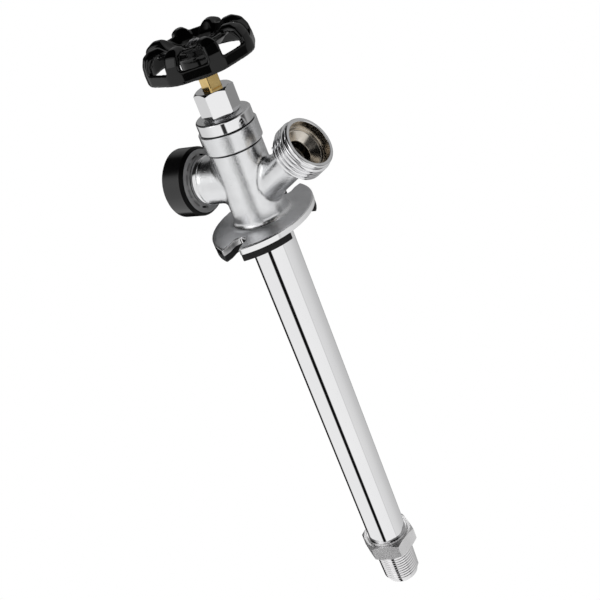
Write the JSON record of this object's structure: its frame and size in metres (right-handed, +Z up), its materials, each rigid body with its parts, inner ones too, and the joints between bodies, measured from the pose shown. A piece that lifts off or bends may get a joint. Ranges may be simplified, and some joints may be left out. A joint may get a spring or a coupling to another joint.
{
  "type": "frost free sillcock",
  "caption": "Wall-mounted frost-free outdoor tap: handwheel valve with angled hose outlet, vacuum breaker cap and wall flange on a long tube with a threaded inlet.",
  "frame": {"origin": "on the tube's axis, at the back of the wall gasket where it meets the wall", "axes": "+Y along the tube into the wall, -Y out to the handwheel, +Z up to the vacuum breaker cap, +X to the right as seen along +Y"},
  "size_m": [0.0622, 0.3363, 0.0852],
  "materials": {
    "satin_chrome": "satin bead-blasted chrome on cast brass",
    "polished_chrome": "mirror chrome",
    "nickel": "bright nickel",
    "brass": "bright turned brass",
    "steel": "plated steel",
    "black_enamel": "gloss black enamel",
    "black_plastic": "satin black plastic",
    "grey_plastic": "moulded grey plastic",
    "black_rubber": "moulded rubber",
    "packing": "graphite packing",
    "white_plastic": "moulded white plastic"
  },
  "bodies": {
    "valve_body": {"body": "satin_chrome", "tube": "polished_chrome", "inlet_fitting": "nickel", "wall_gasket": "black_rubber", "bonnet": "polished_chrome", "bonnet_gasket": "black_rubber", "packing_nut": "polished_chrome", "packing_gland": "brass", "packing_ring": "packing", "packing_washer": "brass", "breaker_seat": "brass", "breaker_guide": "grey_plastic", "breaker_gasket": "black_rubber", "breaker_cap": "black_plastic"},
    "plunger": {"seat_plug": "brass", "swivel_ring": "brass", "seat_washer": "black_rubber", "washer_screw": "steel"},
    "stem": {"stem": "brass", "stem_rod": "brass", "rod_pin": "steel", "rod_guide": "white_plastic", "handwheel": "black_enamel", "handle_screw": "steel"},
    "float": {"breaker_float": "grey_plastic", "float_seal": "black_rubber"}
  },
  "joints": [
    {"name": "stem_slide", "type": "slide", "parent": "valve_body", "child": "plunger", "axis": [0, -1, 0], "range_m": [0, 0.006]},
    {"name": "stem_turn", "type": "hinge", "parent": "plunger", "child": "stem", "pos_m": [0, -0.09, 0], "axis": [0, -1, 0], "range_deg": [0, 720]},
    {"name": "float_lift", "type": "slide", "parent": "valve_body", "child": "float", "axis": [0, 0, 1], "range_m": [0, 0.0024]}
  ],
  "couplings": [
    {"joint": "stem_slide", "follows": "stem_turn", "m_per_rad": 0.00047746}
  ]
}
